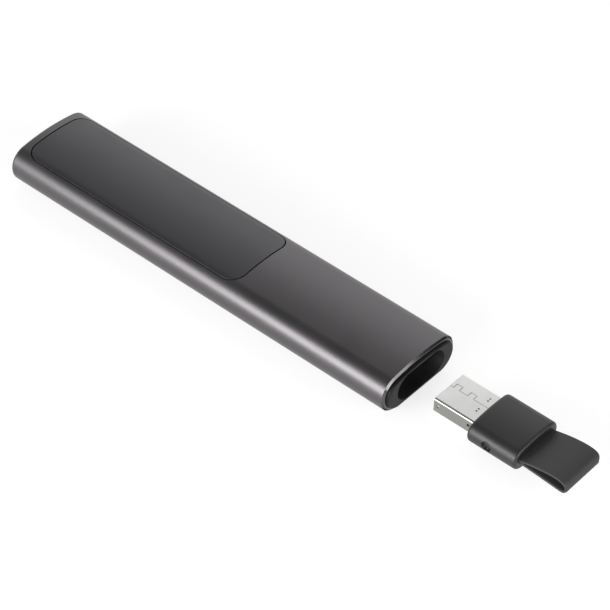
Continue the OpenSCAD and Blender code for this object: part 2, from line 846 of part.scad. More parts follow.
module back_button() {
    color(near_black) translate([back_x, 0, 0]) oblong_button(back_l);
}

module pointer_plunger() plunger(pointer_x);
module next_plunger() plunger(next_x);
module back_plunger() plunger(back_x);

// ---------- receiver ----------

// Thin cut along a path on the plug's top face
module seam_cut(points, w) {
    for (i = [0:len(points) - 2]) {
        a = points[i];
        b = points[i + 1];
        block([min(a[0], b[0]) - w / 2, max(a[0], b[0]) + w / 2],
            [min(a[1], b[1]) - w / 2, max(a[1], b[1]) + w / 2],
            [z_mid + plug_h / 2 - sheet_t / 2, z_mid + plug_h / 2 + over]);
    }
}

module usb_plug_shell() {
    color(steel) difference() {
        along_x(x_tip, x_inside0) difference() {
            rounded_rect(plug_w, plug_h, plug_corner);
            rounded_rect(plug_w - 2 * sheet_t, plug_h - 2 * sheet_t, plug_corner - sheet_t);
        }
        seam_cut([for (p = fold_seam) [x_tip + p[0], seam_y + p[1]]], seam_w);
        for (y = stake_hole_y)
            translate([x_collar0 - stake_hole_back, y, z_mid]) cylinder(r = stake_hole_r, h = plug_h);
        for (side = [-1, 1], x = [x_tip + notch_in, x_collar0 - notch_in])
            translate([x, side * plug_w / 2, z_mid + 0.3]) cube([notch_l, over, notch_h], center = true);
        for (side = [-1, 1])
            translate([x_tip + latch_in, side * latch_y, z_mid - plug_h / 2])
                cube([latch_w, latch_w, over], center = true);
    }
}

module usb_plug_tongue() {
    half = plug_w / 2 - sheet_t - 0.3;
    color("white") block([x_tip + usb_tongue_in, x_inside0], [-half, half],
        [z_usb_tongue, z_usb_tongue + usb_tongue_t]);
}

module usb_contacts() {
    color(gold) for (y = usb_contact_y)
        block([x_tip + contact_in, x_tip + contact_in + contact_l], [y - contact_w / 2, y + contact_w / 2],
            [z_usb_tongue - contact_t, z_usb_tongue]);
}

module receiver_board() {
    half = plug_w / 2 - 0.4;
    color(board_green) block([x_inside0 + fit_gap, x_collar1 - collar_back - 2 * anchor_bead_r - 2 * fit_gap],
        [-half, half], [z_mid - chip_t / 2 - pcb_t, z_mid - chip_t / 2]);
}

module receiver_chip() {
    color(near_black) block([x_inside0 + chip_in, x_inside0 + chip_in + chip_w],
        [-chip_w / 2, chip_w / 2], [z_mid - chip_t / 2, z_mid + chip_t / 2]);
}

module receiver_collar() {
    pocket_half = strap_w / 2 + fit_gap;
    color(dark_grey) difference() {
        stadium_bar(x_collar0, x_collar1, collar_w, collar_t, collar_edge, collar_edge);
        along_x(x_collar0 - over, x_inside0 + slack)
            rounded_rect(plug_w + 2 * slack, plug_h + 2 * slack, plug_corner + slack);
        block([x_inside0, x_collar1 - collar_back], [-pocket_half, pocket_half],
            [z_mid - pocket_h / 2, z_mid + pocket_h / 2]);
        block([x_collar1 - collar_back - over, x_collar1 + over], [-pocket_half, pocket_half],
            [z_mid - slot_h / 2, z_mid + slot_h / 2]);
        for (side = [-1, 1])
            translate([x_collar0 + dimple_from_front, side * collar_w / 2, z_mid]) rotate([90, 0, 0])
                cylinder(d = dimple_d, h = 2 * dimple_depth, center = true);
    }
}

// Clamped end of the strap, with the bead that keeps it in the collar
module strap_anchor() {
    color(dark_grey) {
        block([x_collar1 - collar_back - anchor_bead_r, x_collar1 - root_r - slack],
            [-strap_w / 2, strap_w / 2],
            [z_mid - anchor_t / 2, z_mid + anchor_t / 2]);
        translate([x_collar1 - collar_back - anchor_bead_r - slack, 0, z_mid]) rotate([90, 0, 0])
            cylinder(r = anchor_bead_r, h = strap_w, center = true);
    }
}

module pull_strap() {
    end = [strap_l - strap_end_r, strap_rise];
    color(dark_grey) translate([x_collar1, 0, z_mid]) rotate([90, 0, 0])
        linear_extrude(strap_w, center = true) difference() {
            polygon(teardrop([0, 0], root_r, end, strap_end_r, 24));
            polygon(teardrop(loop_start, loop_start_r, end, strap_end_r - strap_t, 24));
        }
}

shell();
back_cover();
end_cap();
receiver_dock();
detent_springs();
cap_screws();
dock_screws();
chassis();
chassis_screws();
main_board();
battery();
battery_pad();
battery_connector();
battery_leads();
charging_port();
charging_port_tongue();
radio_processor();
radio_shield();
chip_antenna();
crystal();
motion_sensor();
power_chips();
capacitors();
vibration_motor();
tactile_switches();
status_led();
light_pipe();
pointer_button();
pointer_plunger();
next_button();
next_plunger();
back_button();
back_plunger();
usb_plug_shell();
usb_plug_tongue();
usb_contacts();
receiver_board();
receiver_chip();
receiver_collar();
strap_anchor();
pull_strap();
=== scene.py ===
import math

import bmesh
import bpy
from mathutils import Matrix, Vector


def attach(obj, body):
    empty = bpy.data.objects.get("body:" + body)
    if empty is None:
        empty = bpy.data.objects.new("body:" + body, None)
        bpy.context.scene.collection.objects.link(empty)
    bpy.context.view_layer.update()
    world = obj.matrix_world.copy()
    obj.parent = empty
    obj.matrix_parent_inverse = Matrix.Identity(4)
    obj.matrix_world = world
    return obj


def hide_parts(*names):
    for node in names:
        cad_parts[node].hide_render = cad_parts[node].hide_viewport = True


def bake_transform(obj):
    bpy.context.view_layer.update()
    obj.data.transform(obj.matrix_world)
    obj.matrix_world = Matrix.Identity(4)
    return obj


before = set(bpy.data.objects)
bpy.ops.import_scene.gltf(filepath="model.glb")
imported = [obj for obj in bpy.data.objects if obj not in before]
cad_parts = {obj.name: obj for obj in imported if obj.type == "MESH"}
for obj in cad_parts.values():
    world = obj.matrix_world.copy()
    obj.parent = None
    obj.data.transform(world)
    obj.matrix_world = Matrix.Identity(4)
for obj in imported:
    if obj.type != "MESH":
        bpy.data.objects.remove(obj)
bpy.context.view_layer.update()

MM = 0.001

# ---------- sizes, in millimetres ----------
# X runs along the handset to its open end, Z up through the back cover, and the front face lies on z = 0.
# The main sizes are those of the CAD model. Edges, seams and grooves are fitted to the photograph.

BODY_L, BODY_W, BODY_T, BODY_CROWN = 131.3, 28.1, 12.1, 60.0
WALL, HEAD_WALL, HEAD_EDGE = 1.1, 1.6, 0.9
RIM_CHAMFER, RIM_SOFT = 0.45, 0.05
CAP_PROUD, CAP_DEPTH, CAP_GAP, CAP_EDGE = 0.8, 5.25, 0.15, 0.25
X_HEAD, X_FACE = -BODY_L / 2, BODY_L / 2
X_RIM = X_FACE - CAP_PROUD
Z_MID = BODY_T / 2

COVER_L, COVER_SIDE, COVER_T = 75.8, 2.95, 1.2
COVER_MARGIN, COVER_CORNER, COVER_EDGE = 2.85, 4.2, 0.05
COVER_X0 = X_HEAD + COVER_MARGIN
COVER_X1 = COVER_X0 + COVER_L
COVER_HALF = BODY_W / 2 - COVER_SIDE
SEAM_IN, SEAM_OUT = 0.10, 0.15  # the seam's share of the cover and of the shell
SEAM_END = 0.10  # more of the shell, at each of the cover's two ends
HOOK_L, HOOK_RIB, HOOK_LIP = 3.0, 0.9, 0.6
HOOK_SETBACK, HOOK_REACH, HOOK_CLEAR = 0.25, 0.4, 0.2
HOOK_SHARES = (0.16, 0.5, 0.84)  # of the cover's length

BAY_W, BAY_T = 18.0, 7.9
MOUTH_EDGE = 0.3

POST_X, POST_Y, POST_TOP = (-58.75, 12.0), 7.1, 3.65
POST_R, POST_HOLE_R = 1.8, 0.72
POINTER_X, NEXT_X, BACK_X, LENS_X = (X_HEAD + d for d in (19.2, 36.2, 51.2, 7.2))
POINTER_L, BACK_L, BUTTON_W, BUTTON_CORNER = 12.5, 8.0, 14.4, 4.0
NEXT_R, LENS_R = 7.6, 0.8
BUTTON_GAP, LENS_GAP = 0.2, 0.05
BUTTON_FLAT = 0.05  # half of the least straight part between two of a button's corners
WALL_THROUGH = 0.02  # how far the front's cutters stand past the inside of the wall

PLUG_L, PLUG_W, PLUG_H = 12.2, 12.0, 4.5
PLUG_IN, PLUG_CORNER = 3.0, 0.7  # how far the plug reaches into the collar, and its long corners
SHEET_T, SHEET_EDGE = 0.3, 0.06
SEAM_Y, SEAM_GROOVE = 0.3, 0.17
FOLD_SEAM = [(-0.5, 0), (1.1, 0), (1.1, 1.5), (2.9, 1.5), (2.9, 0), (5.5, 0), (5.5, 1.5), (7.3, 1.5),
             (7.3, 0), (13.2, 0)]  # the jigsaw seam's corners, from the plug's open end and from SEAM_Y
STAKE_IN, STAKE_R, STAKE_Y = 1.9, 0.27, (-2.3, -1.4, 2.3, 3.2)
NOTCH_IN, NOTCH_HALF, NOTCH_CUT = 1.4, 0.4, 0.5
NOTCH_Z = (Z_MID - 0.1, Z_MID + 0.7)
LATCH_X, LATCH_Y, LATCH_HALF = (4.1, 6.3), 3.0, 1.1

COLLAR_X0, COLLAR_L, COLLAR_W, COLLAR_T, COLLAR_CROWN = 86.65, 15.0, 17.3, 7.0, 45.0
COLLAR_X1 = COLLAR_X0 + COLLAR_L
COLLAR_EDGE = 0.85
DIMPLE_X, DIMPLE_D, DIMPLE_DEPTH, DIMPLE_SOFT = COLLAR_X0 + 6.1, 2.7, 0.75, 0.12

STRAP_W, STRAP_T, STRAP_EDGE = 14.0, 0.68, 0.2
STRAP_CORNER = 1.0  # radius of the outer corners at the end of the loop
STRAP_LINE = [(-1.6, 0.32), (-0.4, 0.32), (0.8, 0.42), (2.4, 0.84), (4.6, 1.36), (7.0, 1.78), (9.2, 2.02),
              (10.9, 2.04), (12.3, 1.84), (13.35, 1.32), (13.85, 0.48), (13.85, -0.36), (13.35, -0.96),
              (12.4, -1.10), (11.0, -1.00), (9.2, -0.86), (5.2, -0.56), (2.4, -0.38), (0.8, -0.33),
              (-0.4, -0.32), (-1.6, -0.32)]  # (x, z) along the loop, from the middle of the collar's end

SHARP = 32  # degrees between two faces, from which their edge is sharp
OVERLAP = 0.1  # how far solids that are joined run into one another
PAST, PLUG_PAST = 1.0, 0.5  # how far a cutter stands past the shell's surface, and past the plug's


# ---------- mesh helpers ----------

def add_mesh(name, verts, faces, body, slot, replaced):
    """A smooth-shaded piece made of vertices in millimetres. A piece with no body is left unattached here.
    """
    data = bpy.data.meshes.new(name)
    data.from_pydata([[c * MM for c in v] for v in verts], [], faces)
    data.validate()
    made = bmesh.new()
    made.from_mesh(data)
    bmesh.ops.recalc_face_normals(made, faces=made.faces)
    made.to_mesh(data)
    made.free()
    piece = bpy.data.objects.new(name, data)
    bpy.context.scene.collection.objects.link(piece)
    data.materials.append(material(slot))
    smooth_by_angle(data)
    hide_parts(replaced)
    if body:
        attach(piece, body)
    return piece


def add_island(data, verts, faces):
    """Adds a closed piece, in millimetres, to a mesh."""
    made = bmesh.new()
    made.from_mesh(data)
    corners = [made.verts.new([c * MM for c in v]) for v in verts]
    added = [made.faces.new([corners[i] for i in face]) for face in faces]
    bmesh.ops.recalc_face_normals(made, faces=added)
    made.to_mesh(data)
    made.free()


def add_second_look(data, slot, chosen):
    """A second material, on the faces that chosen says yes to."""
    data.materials.append(material(slot))
    for face in data.polygons:
        if chosen(face):
            face.material_index = 1


def smooth_by_angle(data):
    """Smooth faces, with the sharp edges kept sharp."""
    limit = math.radians(SHARP)
    data.polygons.foreach_set("use_smooth", [True] * len(data.polygons))
    made = bmesh.new()
    made.from_mesh(data)
    for edge in made.edges:
        edge.smooth = len(edge.link_faces) == 2 and edge.calc_face_angle(0) < limit
    made.to_mesh(data)
    made.free()


def lofted(rings, capped=True):
    """Vertices and faces of rings that all have the same number of points, with or without end faces."""
    n = len(rings[0])
    verts = [p for ring in rings for p in ring]
    faces = []
    for k in range(len(rings) - 1):
        for i in range(n):
            j = (i + 1) % n
            faces.append([k * n + i, k * n + j, (k + 1) * n + j, (k + 1) * n + i])
    if capped:
        faces.append(list(range(n))[::-1])
        faces.append([(len(rings) - 1) * n + i for i in range(n)])
    return verts, faces


def closed_loft(rings):
    """A tube whose last ring runs back into the first one."""
    return lofted(rings + [rings[0]], capped=False)


def box(x, y, z):
    """Vertices and faces of a box between two values on each axis."""
    verts = [(a, b, c) for a in x for b in y for c in z]
    return verts, [[0, 1, 3, 2], [4, 6, 7, 5], [0, 4, 5, 1], [2, 3, 7, 6], [0, 2, 6, 4], [1, 5, 7, 3]]


def prism(points, z0, z1):
    """A closed cutter in its own object."""
    n = len(points)
    verts = [(x * MM, y * MM, z * MM) for z in (z0, z1) for x, y in points]
    faces = [[i, (i + 1) % n, n + (i + 1) % n, n + i] for i in range(n)]
    faces += [list(range(n))[::-1], [n + i for i in range(n)]]
    data = bpy.data.meshes.new("cutter")
    data.from_pydata(verts, [], faces)
    return bpy.data.objects.new("cutter", data)


def cut(piece, cutters):
    """Takes the cutters' volume out of the piece's mesh."""
    for cutter in cutters:
        bpy.context.scene.collection.objects.link(cutter)
        step = piece.modifiers.new("cut", "BOOLEAN")
        step.operation = "DIFFERENCE"
        step.solver = "EXACT"
        step.object = cutter
    bpy.context.view_layer.update()
    seen = piece.evaluated_get(bpy.context.evaluated_depsgraph_get())
    data = bpy.data.meshes.new_from_object(seen)
    data.name = piece.data.name
    piece.modifiers.clear()
    piece.data = data
    for cutter in cutters:
        bpy.data.objects.remove(cutter)


# ---------- sections across X ----------

def stadium(flat, r, n_side, n_flat):
    """Points (y, z) of a bar with flat faces and half-round sides, z from its middle."""
    turns = [math.pi * i / n_side for i in range(n_side)]
    ring = []
    for s in (1, -1):
        ring += [(s * (2 * flat * i / n_flat - flat), s * r) for i in range(n_flat)]
        ring += [(s * (flat + r * math.sin(t)), s * r * math.cos(t)) for t in turns]
    return ring


class Crowned:
    """A section that is flat in front, round at the sides and crowned at the back."""

    def __init__(self, width, thick, crown):
        self.crown = crown
        self.low_r = thick / 2
        self.flat = (width - thick) / 2
        # The side's arc stands upright at the widest point and runs on into the crown's arc.
        self.side_r = (crown * thick - (width / 2) ** 2 - self.low_r ** 2) / (2 * crown - width)
        self.side_y = width / 2 - self.side_r
        self.centre = self.low_r - crown
        self.join = math.asin(self.side_y / (crown - self.side_r))

    def ring(self, x, inset, n_side, n_flat):
        """A ring across X of the section drawn in by inset."""
        crown, side_r, low_r = self.crown - inset, self.side_r - inset, self.low_r - inset
        ring = []
        for i in range(n_flat):
            t = self.join * (2 * i / n_flat - 1)
            ring.append((crown * math.sin(t), self.centre + crown * math.cos(t)))
        half = n_side // 2
        side = []
        for i in range(half):
            t = self.join + (math.pi / 2 - self.join) * i / half
            side.append((self.side_y + side_r * math.sin(t), side_r * math.cos(t)))
        for i in range(half + 1):
            t = math.pi / 2 * (1 + i / half)
            side.append((self.flat + low_r * math.sin(t), low_r * math.cos(t)))
        ring += side[:-1]
        ring += [(self.flat - 2 * self.flat * i / n_flat, -low_r) for i in range(n_flat)]
        ring += [(-y, z) for y, z in side[:0:-1]]
        return [(x, y, Z_MID + z) for y, z in ring]

    def outward(self, y, z):
        """The vector to (y, z) from the centre of its arc of the outline, and the arc's radius."""
        if z <= 0:
            return Vector((y - max(-self.flat, min(self.flat, y)), z)), self.low_r
        if abs(math.atan2(y, z - self.centre)) < self.join:
            return Vector((y, z - self.centre)), self.crown
        return Vector((y - math.copysign(self.side_y, y), z)), self.side_r

    def top(self, y, inset=0.0):
        """Height of the back at y, or of the surface that lies inset below it."""
        y, crown, side_r = abs(y), self.crown - inset, self.side_r - inset
        if y < crown * math.sin(self.join):
            return Z_MID + self.centre + math.sqrt(crown ** 2 - y * y)
        return Z_MID + math.sqrt(max(side_r ** 2 - (y - self.side_y) ** 2, 0))


HANDSET = Crowned(BODY_W, BODY_T, BODY_CROWN)
COLLAR = Crowned(COLLAR_W, COLLAR_T, COLLAR_CROWN)


def arc_steps(n):
    """(1 - cos, sin) of 0 to 90 degrees in n steps, for a rounded edge."""
    return [(1 - math.cos(math.pi / 2 * i / n), math.sin(math.pi / 2 * i / n)) for i in range(n + 1)]


def four_corners(half_w, half_h, r, n):
    """Points of a rectangle with rounded corners, round its middle."""
    points = []
    for sx, sy, start in ((1, 1, 0), (-1, 1, 90), (-1, -1, 180), (1, -1, 270)):
        for i in range(n + 1):
            t = math.radians(start + 90 * i / n)
            points.append((sx * (half_w - r) + r * math.cos(t), sy * (half_h - r) + r * math.sin(t)))
    return points


# ---------- outlines on the plan ----------

def cover_rows(gap, ends=0.0):
    """Rows across the cover's plan, drawn in by gap: x, half width, and the rim's outward direction."""
    n_corner, n_long = 10, 24  # steps round a corner and along a side
    x0, x1 = COVER_X0 + gap - ends, COVER_X1 - gap + ends
    half, r = COVER_HALF - gap, COVER_CORNER - gap
    rows = []
    for i in range(n_corner + 1):
        a = math.pi / 2 * i / n_corner
        rows.append((x0 + r * (1 - math.cos(a)), half - r + r * math.sin(a), math.pi - a))
    rows += [(x0 + r + (x1 - x0 - 2 * r) * i / n_long, half, math.pi / 2) for i in range(1, n_long)]
    for i in range(n_corner, -1, -1):
        a = math.pi / 2 * i / n_corner
        rows.append((x1 - r * (1 - math.cos(a)), half - r + r * math.sin(a), a))
    return rows


def cover_opening():
    """The outline of the shell's opening for the cover."""
    rows = cover_rows(-SEAM_OUT, SEAM_END)
    return [(x, -half) for x, half, _ in rows] + [(x, half) for x, half, _ in reversed(rows)]


def button_opening(x, length):
    """The outline of an oblong button's opening."""
    r = min(BUTTON_CORNER, length / 2 - BUTTON_FLAT) + BUTTON_GAP
    corners = four_corners(length / 2 + BUTTON_GAP, BUTTON_W / 2 + BUTTON_GAP, r, 12)
    return [(x + px, py) for px, py in corners]


def round_plan(x, y, r, n):
    """Points of a circle."""
    turns = [2 * math.pi * i / n for i in range(n)]
    return [(x + r * math.cos(t), y + r * math.sin(t)) for t in turns]


def box_plan(x0, x1, y0, y1):
    """Corners of a rectangle between two values on each axis."""
    return [(x0, y0), (x1, y0), (x1, y1), (x0, y1)]


# ---------- materials ----------

LOOKS = {
    # slot: (colour, metallic, roughness, roughness spread, grain size in mm, bump, specular)
    "anodised_shell": ((0.1225, 0.1168, 0.1212), 1.0, 0.385, 0.04, 0.22, 0.25, 0.5),
    "bright_rim": ((0.12, 0.116, 0.12), 1.0, 0.20, 0.04, 0.10, 0.05, 0.5),
    "satin_plastic": ((0.0082, 0.0080, 0.0095), 0.0, 0.42, 0.05, 0.15, 0.10, 0.87),
    "cap_plastic": ((0.009, 0.009, 0.0092), 0.0, 0.50, 0.06, 0.15, 0.15, 0.2),
    # inner_plastic is lighter than cap_plastic: painted light, so that the shaded inside of the bay reads
    # lighter.
    "inner_plastic": ((0.026, 0.026, 0.027), 0.0, 0.55, 0.08, 0.25, 0.20, 0.4),
    "button_plastic": ((0.028, 0.028, 0.030), 0.0, 0.42, 0.06, 0.15, 0.12, 0.5),
    "ivory_plastic": ((0.75, 0.72, 0.62), 0.0, 0.45, 0.06, 0.2, 0.10, 0.5),
    "plug_plastic": ((0.78, 0.78, 0.78), 0.0, 0.45, 0.06, 0.2, 0.10, 0.5),
    "clear_plastic": ((0.75, 0.78, 0.78), 0.0, 0.25, 0.05, 0.3, 0.05, 0.5),
    "spring_steel": ((0.60, 0.60, 0.58), 1.0, 0.28, 0.08, 0.2, 0.08, 0.5),
    "screw_steel": ((0.22, 0.22, 0.22), 1.0, 0.35, 0.08, 0.2, 0.10, 0.5),
    "port_steel": ((0.55, 0.55, 0.55), 1.0, 0.30, 0.08, 0.2, 0.08, 0.5),
    "plug_steel": ((0.77, 0.77, 0.755), 1.0, 0.13, 0.03, 0.25, 0.05, 0.5),
    # The plug's narrow sides: a darker copy of the plug's steel, painted shade for the shadowed floor that
    # they reflect.
    "plug_side_painted_shade": ((0.31, 0.31, 0.293), 1.0, 0.18, 0.03, 0.25, 0.05, 0.5),
    "contact_gold": ((0.85, 0.60, 0.25), 1.0, 0.25, 0.05, 0.2, 0.05, 0.5),
    "circuit_board": ((0.02, 0.12, 0.07), 0.0, 0.35, 0.06, 0.3, 0.15, 0.5),
    "battery_foil": ((0.55, 0.56, 0.58), 0.6, 0.40, 0.10, 0.8, 0.25, 0.5),
    "foam": ((0.06, 0.06, 0.06), 0.0, 0.90, 0.05, 0.5, 0.80, 0.2),
    "wire_sleeve": ((0.35, 0.03, 0.03), 0.0, 0.45, 0.06, 0.2, 0.08, 0.5),
    "chip_black": ((0.018, 0.018, 0.018), 0.0, 0.50, 0.06, 0.15, 0.20, 0.4),
    "chip_ceramic": ((0.60, 0.50, 0.40), 0.0, 0.45, 0.06, 0.1, 0.15, 0.5),
    "collar_rubber": ((0.010, 0.010, 0.0103), 0.0, 0.46, 0.06, 0.12, 0.15, 0.60),
    "strap_rubber": ((0.041, 0.041, 0.0423), 0.0, 0.55, 0.06, 0.12, 0.18, 0.32),
}
# The tint of the reflections: of all of them on a plastic, and of those at a low angle on a metal.
REFLECTION_TINTS = {"satin_plastic": (0.955, 0.945, 1.0, 1), "bright_rim": (0.25, 0.25, 0.25, 1)}
BLASTED = ("anodised_shell",)  # the metals whose grain isn't brushed along X
BRUSHING = (0.25, 1, 1)  # stretches the grain of a brushed metal
DRIFT_SIZE, DRIFT = 9.0, 0.07  # size in mm and strength of the broad tonal drift
WEAR_RANGE = (0.6, 1.4)  # of the fine and the broad noise added up, over which the roughness varies
BUMP_DEPTH = 0.02  # mm


def linked_node(nodes, links, kind, sources, operation=None):
    """A node with its first inputs linked to the sources."""
    node = nodes.new(kind)
    if operation:
        node.operation = operation
    for socket, source in zip(node.inputs, sources):
        links.new(source, socket)
    return node


def mapped(nodes, links, value, came, becomes):
    """The value with its range turned into another one."""
    node = linked_node(nodes, links, "ShaderNodeMapRange", [value])
    for name, number in zip(("From Min", "From Max", "To Min", "To Max"), (*came, *becomes)):
        node.inputs[name].default_value = number
    return node.outputs["Result"]


def grains(nodes, links, place, size_mm, detail):
    """Noise with grains of the given size."""
    node = nodes.new("ShaderNodeTexNoise")
    node.inputs["Scale"].default_value = 1 / (size_mm * MM)
    node.inputs["Detail"].default_value = detail
    links.new(place, node.inputs["Vector"])
    return node.outputs["Fac"]


def material(slot):
    """The finish of a slot, made when it is first asked for."""
    return bpy.data.materials.get("look_" + slot) or make_material(slot)


def make_material(slot):
    """A procedural finish: fine grain, uneven roughness and faint tonal drift."""
    colour, metallic, rough, spread, grain, bump, specular = LOOKS[slot]
    made = bpy.data.materials.new("look_" + slot)
    made.use_nodes = True
    nodes, links = made.node_tree.nodes, made.node_tree.links
    shader = nodes["Principled BSDF"]
    shader.inputs["Metallic"].default_value = metallic
    shader.inputs["Specular IOR Level"].default_value = specular
    if slot in REFLECTION_TINTS:
        shader.inputs["Specular Tint"].default_value = REFLECTION_TINTS[slot]
    place = nodes.new("ShaderNodeTexCoord").outputs["Object"]
    along = place
    if metallic == 1.0 and slot not in BLASTED:
        stretched = linked_node(nodes, links, "ShaderNodeVectorMath", [place], "MULTIPLY")
        stretched.inputs[1].default_value = BRUSHING
        along = stretched.outputs[0]
    fine = grains(nodes, links, along, grain, 3)
    broad = grains(nodes, links, place, DRIFT_SIZE, 4)

    tint = nodes.new("ShaderNodeVectorMath")
    tint.operation = "SCALE"
    tint.inputs[0].default_value = colour
    links.new(mapped(nodes, links, broad, (0, 1), (1 - DRIFT, 1 + DRIFT)), tint.inputs["Scale"])
    links.new(tint.outputs["Vector"], shader.inputs["Base Color"])

    both = linked_node(nodes, links, "ShaderNodeMath", [fine, broad], "ADD").outputs[0]
    wear = mapped(nodes, links, both, WEAR_RANGE, (rough - spread, rough + spread))
    links.new(wear, shader.inputs["Roughness"])

    raised = nodes.new("ShaderNodeBump")
    raised.inputs["Strength"].default_value = bump
    raised.inputs["Distance"].default_value = BUMP_DEPTH * MM
    links.new(fine, raised.inputs["Height"])
    links.new(raised.outputs["Normal"], shader.inputs["Normal"])
    return made


def dress_cad_nodes():
    """Gives every CAD node the look of the slot that it names."""
    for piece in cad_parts.values():
        for held in piece.material_slots:
            held.material = material(held.material.name.split(".")[0])


dress_cad_nodes()


# ---------- the aluminium shell ----------

def shell_rings():
    """Rings over the head's rounded edge, along the outside, round the rim and back along the inside."""
    stations = [(X_HEAD, inset) for inset in (5.0, 3.6, 2.2)]
    stations += [(X_HEAD + HEAD_EDGE * (1 - out), HEAD_EDGE * back) for back, out in reversed(arc_steps(8))]
    stations += [(x, 0) for x in (-59.0, -40.0, 0.0, 40.0)]
    stations += [(X_RIM - RIM_CHAMFER - RIM_SOFT, 0), (X_RIM - RIM_CHAMFER + RIM_SOFT, RIM_SOFT),
                 (X_RIM - RIM_SOFT, RIM_CHAMFER - RIM_SOFT), (X_RIM, RIM_CHAMFER + RIM_SOFT),
                 (X_RIM, WALL - RIM_SOFT), (X_RIM - RIM_SOFT, WALL)]
    stations += [(x, WALL) for x in (40.0, 0.0, -40.0, -58.0)]
    stations += [(X_HEAD + HEAD_WALL, WALL + inset) for inset in (0, 1.8, 3.6)]
    return [HANDSET.ring(x, inset, n_side=56, n_flat=24) for x, inset in stations]


def shell_cutters():
    """Cutters for the cover's opening, the three buttons and the status light."""
    holes = [button_opening(POINTER_X, POINTER_L), button_opening(BACK_X, BACK_L),
             round_plan(NEXT_X, 0, NEXT_R + BUTTON_GAP, 72), round_plan(LENS_X, 0, LENS_R + LENS_GAP, 32)]
    return ([prism(cover_opening(), Z_MID, BODY_T + PAST)]
            + [prism(hole, -PAST, WALL + WALL_THROUGH) for hole in holes])


def screw_post(x, y):
    """A tube on the inside of the front wall."""
    z0 = WALL - OVERLAP
    rings = [[(px, py, z) for px, py in round_plan(x, y, r, 32)]
             for r, z in ((POST_R, z0), (POST_R, POST_TOP), (POST_HOLE_R, POST_TOP), (POST_HOLE_R, z0))]
    return closed_loft(rings)


def set_handset_normals(data):
    """Exact normals on the handset's outer surface and its rim, and the mesh's own elsewhere."""
    near, upright = 0.005, 0.05  # mm off the surface, and the most that a face may lean along X
    normals = [Vector(n.vector) for n in data.corner_normals]
    for face in data.polygons:
        corners = [data.vertices[i].co / MM for i in face.vertices]
        spans = [HANDSET.outward(p.y, p.z - Z_MID) for p in corners]
        if all(abs(s.length - r) < near for s, r in spans) and abs(face.normal.x) < upright:
            for loop, (s, _) in zip(face.loop_indices, spans):
                normals[loop] = Vector((0, s.x, s.y)).normalized()
        elif face.material_index == 1:
            for loop, (s, _) in zip(face.loop_indices, spans):
                normals[loop] = Vector((s.length, s.x, s.y)).normalized()
    data.normals_split_custom_set(normals)


def on_rim(face):
    """Whether a face of the shell is the bright chamfer round its open end."""
    x0, x1 = X_RIM - RIM_CHAMFER - RIM_SOFT, X_RIM - RIM_SOFT / 4
    return x0 < face.center.x / MM < x1 and face.normal.x > 0.3


def make_shell():
    """A tube closed at the head, with openings for the cover and the buttons, and four screw posts."""
    piece = add_mesh("shell_body", *lofted(shell_rings()), "handset", "anodised_shell", "shell")
    cut(piece, shell_cutters())
    for x in POST_X:
        for y in (-POST_Y, POST_Y):
            add_island(piece.data, *screw_post(x, y))
    smooth_by_angle(piece.data)
    add_second_look(piece.data, "bright_rim", on_rim)
    set_handset_normals(piece.data)


make_shell()


# ---------- the back cover ----------

ACROSS = 40  # strips across the cover


def cover_hook(x, side):
    """Rib and lip of a hook that holds the cover under the shell's wall."""
    rib_y1 = COVER_HALF - SEAM_IN - HOOK_SETBACK
    rib_y0, lip_y1 = rib_y1 - HOOK_RIB, COVER_HALF + HOOK_REACH
    lip_z1 = HANDSET.top(lip_y1, WALL) - HOOK_CLEAR
    lip_z0 = lip_z1 - HOOK_LIP
    ends = (x - HOOK_L / 2, x + HOOK_L / 2)
    return [box(ends, (side * rib_y0, side * rib_y1), (lip_z0, HANDSET.top(rib_y1, COVER_T) + OVERLAP)),
            box(ends, (side * (rib_y1 - OVERLAP), side * lip_y1), (lip_z0, lip_z1))]


def cover_layer(rows, depth):
    """Rows of points across the cover, on the surface that lies depth below the handset's back."""
    layer = []
    for x, half, _ in rows:
        ys = [half * (2 * j / ACROSS - 1) for j in range(ACROSS + 1)]
        layer.append([(x, y, HANDSET.top(y, depth)) for y in ys])
    return layer


def cover_rim(last):
    """(row, column) of the points round a layer whose last row is given."""
    return ([(0, j) for j in range(ACROSS + 1)] + [(i, ACROSS) for i in range(1, last)]
            + [(last, j) for j in range(ACROSS, -1, -1)] + [(i, 0) for i in range(last - 1, 0, -1)])


def cover_way(rows, i, j):
    """Outward direction of the plan's outline at a point of the rim."""
    if j in (0, ACROSS):
        a = rows[i][2]
        return math.cos(a), math.sin(a) * (1 if j else -1)
    return (-1 if i == 0 else 1), 0


def cover_mesh():
    """A crowned panel with rounded edges: a grid on top, a like one below, and rings between their rims."""
    rows = cover_rows(SEAM_IN + COVER_EDGE)
    last, width = len(rows) - 1, ACROSS + 1
    top, under = cover_layer(rows, 0), cover_layer(rows, COVER_T)
    rim = cover_rim(last)
    verts, faces = [], []
    for layer in (top, under):
        start = len(verts)
        verts += [p for row in layer for p in row]
        for i in range(last):
            for j in range(ACROSS):
                k = start + i * width + j
                faces.append([k, k + 1, k + width + 1, k + width])
    rings = [[i * width + j for i, j in rim]]
    for back, out in reversed(arc_steps(5)[:-1]):
        rings.append(range(len(verts), len(verts) + len(rim)))
        for i, j in rim:
            dx, dy = cover_way(rows, i, j)
            x, y, _ = top[i][j]
            x += dx * (COVER_EDGE * (1 - back))
            y += dy * (COVER_EDGE * (1 - back))
            verts.append((x, y, HANDSET.top(y) - COVER_EDGE * (1 - out)))
    rings.append(range(len(verts), len(verts) + len(rim)))
    verts += [(x, y, HANDSET.top(y, COVER_T)) for x, y, _ in verts[-len(rim):]]
    rings.append([(len(top) + i) * width + j for i, j in rim])
    for a, b in zip(rings, rings[1:]):
        faces += [[a[k], a[(k + 1) % len(rim)], b[(k + 1) % len(rim)], b[k]] for k in range(len(rim))]
    return verts, faces


